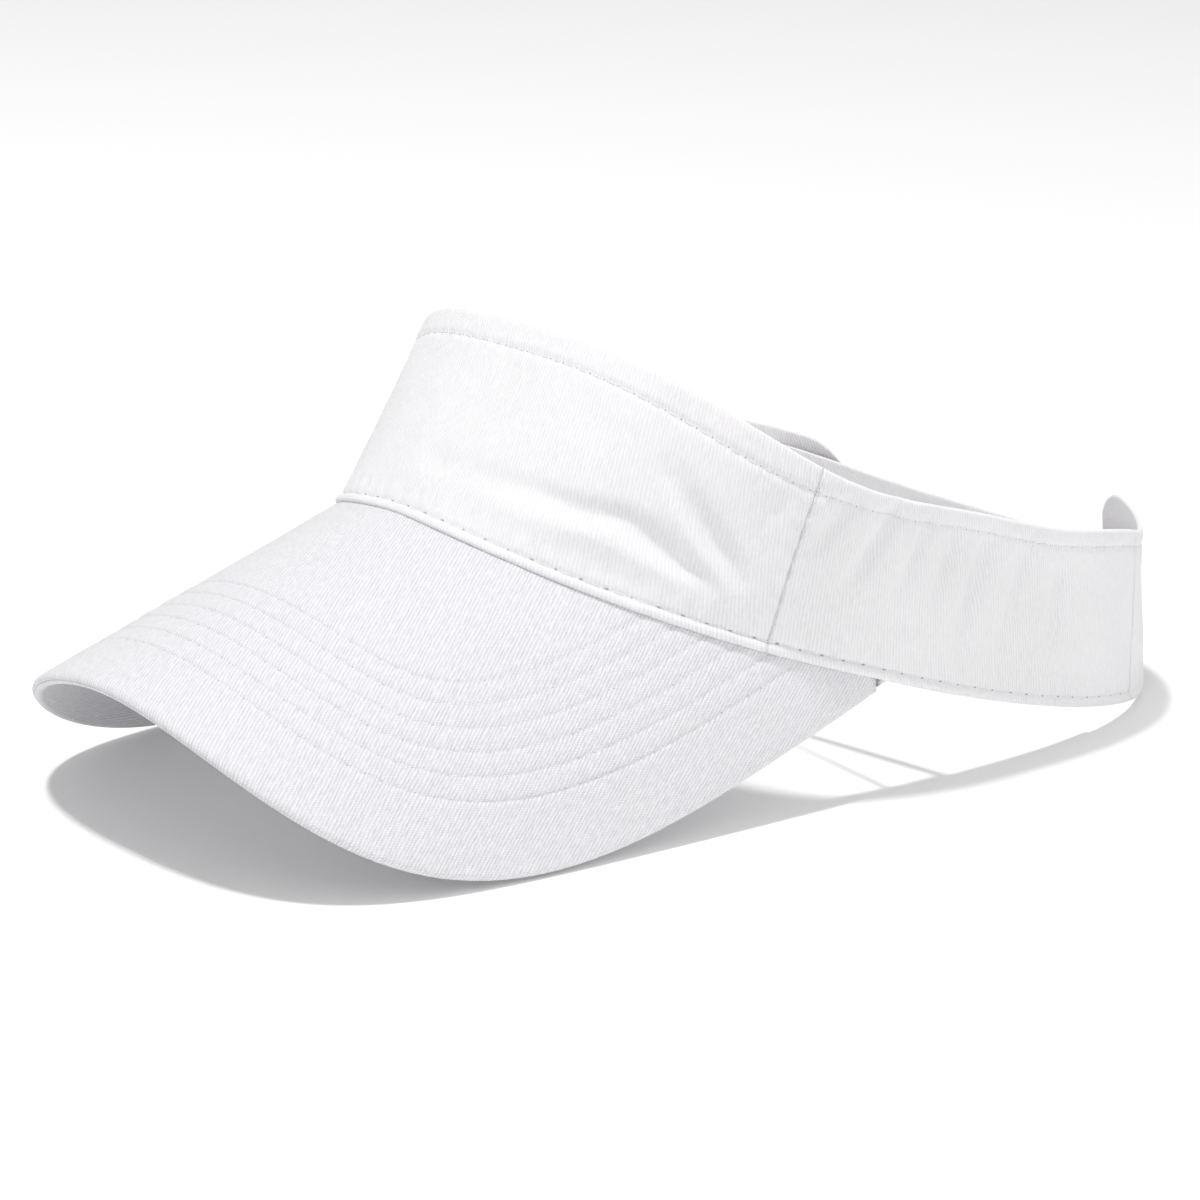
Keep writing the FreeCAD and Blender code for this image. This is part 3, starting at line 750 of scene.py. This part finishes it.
def brim_relief(across, ahead, distance):
    relief = np.zeros(across.shape)
    for row in ROWS:
        relief -= ROW_GROOVE * bell(distance - row, 0.34)
    quilted = ease((distance - ROWS[0] + 4) / 4) * ease((ROWS[-1] + 4 - distance) / 4)
    relief += 0.05 * quilted * np.cos(2 * math.pi * (distance - ROWS[0] - ROW_STEP / 2) / ROW_STEP)
    tug = np.sin(2 * math.pi * (across * 0.6 + ahead * 0.8) / 4.1 + 3 * noise(across / 8, ahead / 8, 21))
    relief += 0.035 * quilted * tug
    relief += 0.12 * noise(across / 14, ahead / 14, 22) + 0.03 * noise(across / 2.3, ahead / 2.3, 23)
    return relief * ease(distance / 2.5)


WING_LENGTH = 17.0
WING_TUCK = 2.2


def brim_wing(side):
    """The brim's end behind the last point of its root, which runs on inside the band."""
    count = 16
    last_ahead = outline(np.array(OUTLINE_END))[1]
    turns = np.linspace(OUTLINE_END, OUTLINE_END + 0.6, 600)
    wanted = last_ahead - WING_LENGTH * np.arange(1, count + 1) / count
    wing_turns = np.interp(-wanted, -outline(turns)[1], turns)
    edge = brim_point(*outline(wing_turns))
    ring_turns = np.linspace(BRIM_END, math.radians(100), 400)
    low = low_edge(ring_turns)
    height = np.interp(edge[:, 1], low[:, 1], low[:, 2]) + WING_TUCK
    down, back = BRIM_ROOT[2] - height, edge[:, 1] - BRIM_ROOT[1]
    drop = down * math.cos(PITCH) + back * math.sin(PITCH)
    across = ARCH * np.arccos(np.clip(1 - drop / ARCH, -1, 1))
    ahead = down * math.sin(PITCH) - back * math.cos(PITCH)
    across = np.minimum(across, outline(wing_turns, 2.0)[0])
    return side * wing_turns, np.stack([side * across, ahead], -1)


def brim_cover(name, under, material):
    """One cloth cover: its outer face, half of the rolled edge, and its inner face."""
    half = BRIM_THICKNESS / 2
    lateral = np.linspace(-1, 1, 300)
    root = np.stack(brim_root(lateral * BRIM_END, ROOT_GAP), -1)
    edge_turns = lateral * OUTLINE_END
    # Known fault: each wing is joined at the other side's end, so a narrow strip crosses the ring.
    for side in (-1, 1):
        wing_turns, wing_root = brim_wing(side)
        order = slice(None, None, -1) if side < 0 else slice(None)
        edge_turns = np.concatenate([wing_turns[order], edge_turns][::side])
        root = np.concatenate([wing_root[order], root][::side])
    rows = len(edge_turns)
    face = np.concatenate([np.linspace(0, 0.4, 60), np.linspace(0.4, 1, 170)[1:]])
    edge = np.stack(outline(edge_turns, half), -1)
    rim = np.stack(outline(edge_turns, 0.0), -1)
    outwards = (rim - edge) / half
    across = mix(root[:, None, 0], edge[:, None, 0], face)
    ahead = mix(root[:, None, 1], edge[:, None, 1], face)
    relief = brim_relief(across, ahead, from_edge(across, ahead))
    sign = -1 if under else 1
    tip = ease(np.minimum(np.arange(rows), np.arange(rows)[::-1]) / 6)[:, None]
    depth = half - sign * (half + relief)
    roll = np.linspace(0, math.pi / 2, 7)[1:]
    roll_reach, roll_depth = half * np.sin(roll), half * np.cos(roll)
    roll_across = edge[:, None, 0] + outwards[:, None, 0] * roll_reach * mix(0.4, 1, tip)
    roll_ahead = edge[:, None, 1] + outwards[:, None, 1] * roll_reach * mix(0.4, 1, tip)
    inner = half - COVER
    back_across = edge[:, None, 0] + outwards[:, None, 0] * inner * np.sin(roll[::-1])
    back_ahead = edge[:, None, 1] + outwards[:, None, 1] * inner * np.sin(roll[::-1])
    seam_dip = 0.22 * bell(roll - math.pi / 2, 0.18)
    roll_across = roll_across - outwards[:, None, 0] * seam_dip
    roll_ahead = roll_ahead - outwards[:, None, 1] * seam_dip
    back_depth = half - sign * inner * np.cos(roll[::-1])
    grid_across = np.hstack([across, roll_across, back_across, across[:, ::-1]])
    grid_ahead = np.hstack([ahead, roll_ahead, back_ahead, ahead[:, ::-1]])
    grid_depth = np.hstack([depth, half - sign * roll_depth + 0 * tip, back_depth + 0 * tip,
                            half - sign * (inner + np.minimum(relief[:, ::-1], 0))])
    grid = brim_point(grid_across, grid_ahead, grid_depth)
    piece = add_mesh(name, grid, ring_faces(*grid.shape[:2]), [material],
                     cloth_map(grid_across, grid_ahead, TWILL_ON_BRIM))
    return piece


top_cover = brim_cover("brim_top_cloth", False, BRIM_TWILL)
under_cover = brim_cover("brim_under_cloth", True, BRIM_TWILL)
for piece, node in ((top_cover, "brim_top_cover"), (under_cover, "brim_under_cover")):
    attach(piece, "root")
    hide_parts(node)


def outside_ring(across, ahead):
    point = brim_point(across, ahead)
    forward = np.maximum((LOW["widest"] - point[..., 1]) / (LOW["widest"] - LOW["front"]), 0)
    sideways = np.abs(point[..., 0]) / LOW["half"]
    return forward ** LOW["front_power"] + sideways ** LOW["front_power"] > 1.03


def brim_row(number):
    inset = ROWS[number]
    turns = np.linspace(-2.2, 2.2, 2400)
    across, ahead = outline(turns, inset)
    inside = ~outside_ring(across, ahead)
    low = turns[inside & (turns < 0)].max()
    high = turns[inside & (turns > 0)].min()
    across, ahead = outline(np.linspace(low, high, 900), inset)
    wobble = 0.12 * noise(across / 11, np.full(900, number * 3.3), 31)
    distance = np.full(900, inset)
    relief = brim_relief(across, ahead, distance)
    route = brim_point(across + wobble, ahead + wobble, -relief)
    outward = unit(brim_point(across, ahead, -1.0) - brim_point(across, ahead, 0.0))
    piece = sew("brim_stitches_%d" % (number + 1), route, outward, ROW_STITCH, [THREAD, HOLE_SHADE],
                radius=0.17, share=0.9, hole_shade_size=0.12, lift=-0.03)
    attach(piece, "root")
    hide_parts("brim_stitch_row_%d" % (number + 1))


for number in range(ROW_COUNT):
    brim_row(number)

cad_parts["brim_board"].data.materials.clear()
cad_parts["brim_board"].data.materials.append(PLASTIC)


# ---------------------------------------------------------------- the head band

BLEND_START = band_point(math.radians(84), 18.0)
PEEL_START = band_point(math.radians(129), 18.0)
PEEL_END = band_point(math.radians(141.5), 18.0)


def along_closure(piece):
    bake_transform(piece)


def along_tab(piece):
    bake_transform(piece)


SEAM_GAP = 0.0004
PANEL_THICKNESS, BAND_THICKNESS = 0.8, 1.1
front = band_shell("front_panel_cloth", lambda up: -seam_turn(up) + SEAM_GAP,
                   lambda up: seam_turn(up) - SEAM_GAP, 0.0, PANEL_THICKNESS, TWILL, twill=TWILL_ON_PANEL,
                   thick_hem=0.7, step=0.7, columns=96)
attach(front, "root")
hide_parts("front_panel")

left = band_shell("left_band_cloth", lambda up: seam_turn(up), BAND_SPLIT, 0.0, BAND_THICKNESS, TWILL,
                  pinched=(True, False), thick_hem=0.3)
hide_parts("left_side_band")
along_closure(left)

tab = band_shell("closure_tab_cloth", BAND_SPLIT, TAB_END, 0.0, BAND_THICKNESS, TWILL, rounded="end",
                 pinched=(False, True))
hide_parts("left_band_rear", "closure_tab")
along_tab(tab)

right = band_shell("right_band_cloth", RIGHT_END, lambda up: -seam_turn(up), 0.0, BAND_THICKNESS, TWILL,
                   rounded="start", twill=math.pi - TWILL_ON_BAND, thick_hem=0.3)
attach(right, "root")
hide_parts("right_side_band")

lining_reach = SEAM_TOP - 7.0 / TOP["half"]
stiffener = band_shell("front_interfacing_cloth", -lining_reach, lining_reach, 1.0, 1.35, INTERFACING,
                       low=7.0, high=7.3, skin=0.0, step=0.8, columns=72)
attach(stiffener, "root")
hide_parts("front_interfacing")


STRAP_START = 2 * math.pi + math.radians(-128.0)
STRAP_END = math.radians(139.0)
STRAP_WIDTH = 26.0
LOOP_MARGIN = 2.0


def strip_shell(name, start, end, bottom, top, outer, inner, material, relief=None, step=0.9, columns=26):
    """A flat strip: bottom and top are functions that give its edges as heights at each ring angle."""
    dense = np.linspace(start, end, 400)
    centre = ring_point(dense, np.full(400, 0.5))
    length = np.linalg.norm(np.diff(centre, axis=0), axis=1).sum()
    rows = int(length / step) + 2
    turn = np.linspace(start, end, rows)
    face = spaced(0, 1, columns, 0.3)
    half = (inner - outer) / 2
    middle = (inner + outer) / 2
    low, high = bottom(turn) + half, top(turn) - half
    edge = np.minimum(np.arange(rows), np.arange(rows)[::-1]) * length / rows
    half = half * np.sqrt(np.clip(1 - (1 - np.clip(edge / 0.6, 0, 1)) ** 2, 0.05, 1))[:, None]
    cosine, sine = np.cos(RIM), np.sin(RIM)
    outer_h = mix(low[:, None], high[:, None], face)
    heights = np.hstack([outer_h, high[:, None] + half * sine, outer_h[:, ::-1], low[:, None] - half * sine])
    depths = np.hstack([middle - half + 0 * face, middle - half * cosine, middle + half + 0 * face,
                        middle + half * cosine])
    turns = turn[:, None] + 0 * heights
    along = np.linspace(0, length, rows)[:, None] + 0 * heights
    if relief:
        depths = depths - relief(turns, heights)
    up = heights / full_height(turns)
    grid = ring_point(turns, up) - ring_outward(turns, up) * depths[..., None]
    coordinates = cloth_map(along, heights, TWILL_ON_BAND)
    return add_mesh(name, grid, ring_faces(*grid.shape[:2]), [material], coordinates)


def strap_top(turn):
    across = (turn - STRAP_START) / (STRAP_END - STRAP_START)
    return full_height(turn) - mix(3.6, 2.6, across)


strap = strip_shell("rear_strap_cloth", STRAP_START, STRAP_END,
                    lambda turn: strap_top(turn) - STRAP_WIDTH, strap_top, 3.85, 4.75, TWILL,
                    lambda turns, heights: 0.1 * noise(11 * turns, heights / 9, 41))
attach(strap, "root")
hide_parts("rear_strap")

LOOP_START = 2 * math.pi + math.radians(-173.0)
loop = strip_shell("loop_strip_pile", LOOP_START, STRAP_END + 0.02,
                   lambda turn: strap_top(turn) - STRAP_WIDTH + LOOP_MARGIN,
                   lambda turn: strap_top(turn) - LOOP_MARGIN, 3.2, 3.8, LOOPS,
                   lambda turns, heights: 0.12 * noise(75 * turns, heights / 0.9, 42), step=0.5, columns=44)
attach(loop, "root")
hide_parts("loop_strip")

sweat = strip_shell("sweatband_cloth", RIGHT_END + 0.25, math.radians(116) - 0.1, lambda turn: 0.8 + 0 * turn,
                    lambda turn: 30.8 + 0 * turn, 1.6, 2.3, LINING,
                    lambda turns, heights: fold_relief(arc_at(turns), heights, full_height(turns)),
                    step=0.9, columns=40)
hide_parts("sweatband")
along_closure(sweat)


# ---------------------------------------------------------------- top stitching

def band_stitches(name, nodes, turns, heights, pitch, hole_shade_size, ride=None, blend=None, radius=0.2, share=0.8,
                  lift=0.03):
    """Stitches along the outside of the band, which stand for the CAD nodes that are named."""
    route = outer_skin(turns, heights)
    outward = ring_outward(turns, heights / full_height(turns))
    piece = sew(name, route, outward, pitch, [THREAD, HOLE_SHADE], radius, share, hole_shade_size, lift)
    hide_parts(*nodes)
    if blend:
        blend(piece)
    else:
        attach(piece, ride)
    return piece


HEM_STITCH = 3.9


def hem_heights(turns):
    return full_height(turns) - hem_line(turns)


turns = turn_at(np.linspace(arc_at(RIGHT_END + 0.16), arc_at(BAND_SPLIT), 1800))
band_stitches("top_hem_stitches", ["top_hem_stitching"], turns, hem_heights(turns), HEM_STITCH, 0.15,
              blend=along_closure)
turns = turn_at(np.linspace(arc_at(RIGHT_END + 0.2), arc_at(BAND_SPLIT), 1800))
band_stitches("lower_hem_stitches", ["lower_hem_stitching"], turns, ROLL_HEIGHT + 0 * turns, 5.6, 0.36,
              blend=along_closure, share=0.86)
for side, label in ((1, "left"), (-1, "right")):
    ups = np.linspace(0.08, 0.98, 200)
    turns = side * (seam_turn(ups) + 0.006)
    band_stitches(label + "_seam_stitches", [label + "_seam_stitching"], turns, ups * full_height(turns),
                  3.3, 0.1, ride="root", radius=0.17)
turns = turn_at(np.linspace(arc_at(BAND_SPLIT), arc_at(TAB_END - 0.1), 300))
band_stitches("tab_stitches", ["tab_stitching"], turns, hem_heights(turns), HEM_STITCH, 0.15, blend=along_tab)


def loop_stitches():
    """Stitches round the four sides of the loop strip."""
    inset = 1.2
    start, end = LOOP_START - 0.012, STRAP_END + 0.032
    across = np.concatenate([np.linspace(start, end, 200), np.full(60, end), np.linspace(end, start, 200),
                             np.full(60, start)])
    top, low = strap_top(across) - 2.0 - inset, strap_top(across) - 24.0 + inset
    share = np.concatenate([np.ones(200), np.linspace(1, 0, 60), np.zeros(200), np.linspace(0, 1, 60)])
    heights = mix(low, top, share)
    up = heights / full_height(across)
    outward = ring_outward(across, up)
    route = ring_point(across, up) - outward * 3.15
    piece = sew("loop_strip_stitches", route, outward, 2.8, [THREAD, HOLE_SHADE], 0.18, 0.8, 0.0)
    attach(piece, "root")
    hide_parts("loop_strip_stitching")


loop_stitches()


HOOK_MARGIN = 5.0


def hook_patch():
    """The hook tape inside the tab."""
    start, end = TAB_ROOT + 0.09, TAB_END - 0.09
    return strip_shell("hook_patch_tape", start, end, lambda turn: HOOK_MARGIN + 0 * turn,
                       lambda turn: full_height(turn) - HOOK_MARGIN, 1.15, 1.45, HOOKS, step=0.8)


hooks = hook_patch()
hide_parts("hook_patch")
along_tab(hooks)


# ---------------------------------------------------------------- floor, light and camera

CAMERA_ROLL = 0.6
WORLD_LEVEL = 0.7
WORLD_LEAN = (0.5, 0.05, 0.0)  # the room is brighter on the wearer's left


def floor():
    bpy.ops.mesh.primitive_plane_add(size=8.0, location=(0, 0, 0))
    plane = bpy.context.object
    plane.name = "floor"
    plane.data.materials.append(node_material("floor_paper", (0.93, 0.93, 0.93), 0.9, 0.0)[0])


def softbox(name, lean, height, width, depth, strength, colour):
    """A light overhead. Its place and size grow with its height; strength is what reaches the floor."""
    data = bpy.data.lights.new(name, "AREA")
    data.shape = "RECTANGLE"
    data.size, data.size_y = width * height, depth * height
    data.energy = strength * math.pi * height ** 2
    data.color = colour
    light = bpy.data.objects.new(name, data)
    light.location = (lean[0] * height, lean[1] * height, height)
    bpy.context.scene.collection.objects.link(light)


def camera():
    data = bpy.data.cameras.new("camera")
    data.lens = 122.8
    data.sensor_width = 36.0
    data.clip_end = 50.0
    place = Vector((0.6707, -0.5444, 0.2795))
    target = Vector((0.0251, -0.0229, 0.0407))
    eye = bpy.data.objects.new("camera", data)
    eye.location = place
    eye.rotation_euler = (target - place).to_track_quat("-Z", "Y").to_euler()
    eye.rotation_euler.rotate_axis("Z", math.radians(CAMERA_ROLL))
    bpy.context.scene.collection.objects.link(eye)
    bpy.context.scene.camera = eye


floor()
camera()
softbox("overhead_softbox", (-0.02, -0.19), 2.0, 0.08, 0.08, 1.85, (1.0, 1.0, 1.0))
world = bpy.data.worlds.new("studio")
world.use_nodes = True
sky = world.node_tree
sky.nodes["Background"].inputs["Color"].default_value = (1.0, 1.0, 1.0, 1.0)
direction = sky.nodes.new("ShaderNodeTexCoord").outputs["Generated"]
towards = sky.nodes.new("ShaderNodeVectorMath")
towards.operation = "DOT_PRODUCT"
towards.inputs[1].default_value = WORLD_LEAN
sky.links.new(direction, towards.inputs[0])
sky.links.new(value(sky, "MULTIPLY_ADD", towards.outputs["Value"], WORLD_LEVEL, WORLD_LEVEL),
              sky.nodes["Background"].inputs["Strength"])
bpy.context.scene.world = world
bpy.context.scene.view_settings.view_transform = "Standard"
bpy.context.scene.view_settings.look = "None"
